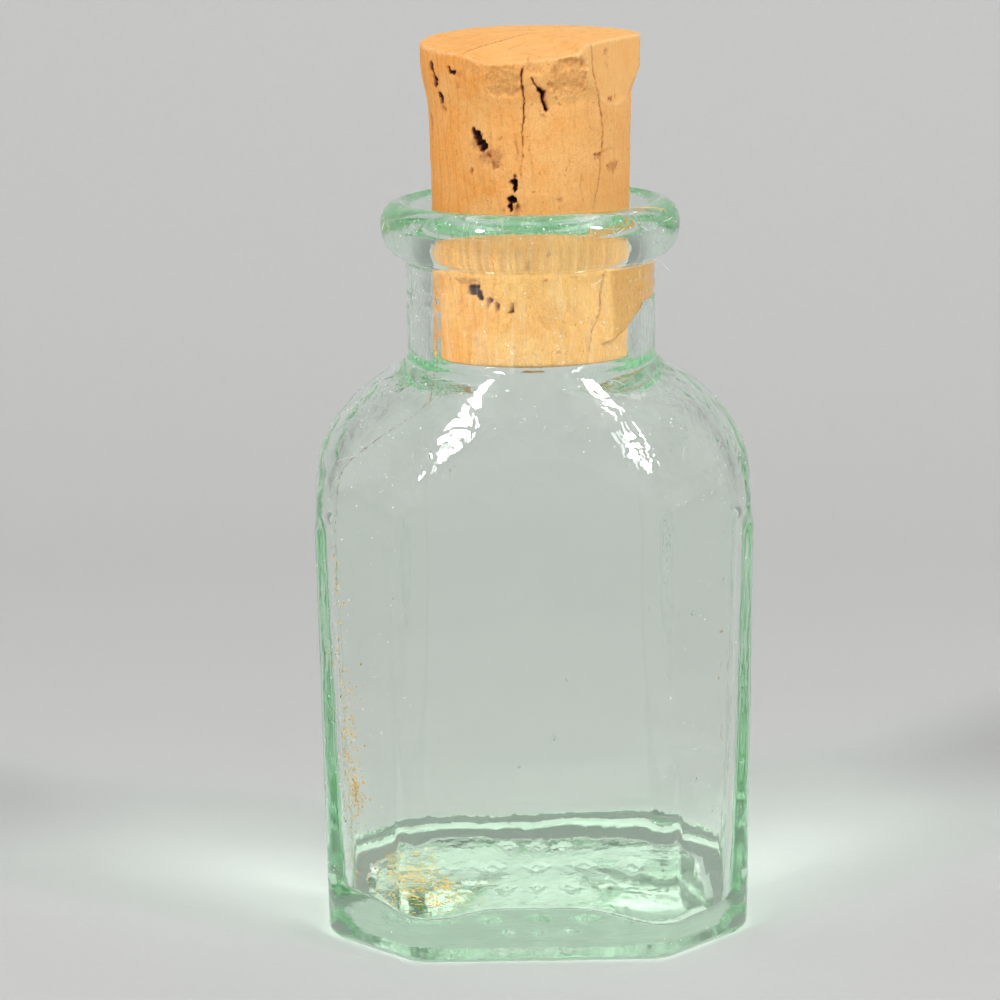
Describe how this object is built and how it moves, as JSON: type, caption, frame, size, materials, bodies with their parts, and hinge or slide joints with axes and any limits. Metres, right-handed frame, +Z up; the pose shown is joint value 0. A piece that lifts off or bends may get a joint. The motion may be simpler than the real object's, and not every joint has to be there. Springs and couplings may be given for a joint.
{
  "type": "apothecary bottle",
  "caption": "Small chamfered rectangular glass bottle with arched shoulder, rolled lip and a tapered cork stopper that pulls out.",
  "frame": {"origin": "middle of the foot, on the plane that the bottle stands on", "axes": "+Z up along the neck, X across the broad face, +Y towards the back"},
  "size_m": [0.056, 0.04, 0.1159],
  "materials": {
    "glass": "clear pressed glass with a pale green tint",
    "cork": "natural cork, cut and unsealed"
  },
  "bodies": {
    "bottle": {"glass_bottle": "glass"},
    "cork": {"cork_stopper": "cork"}
  },
  "joints": [
    {"name": "cork_pull", "type": "slide", "parent": "bottle", "child": "cork", "axis": [0, 0, 1], "range_m": [0, 0.024]}
  ]
}
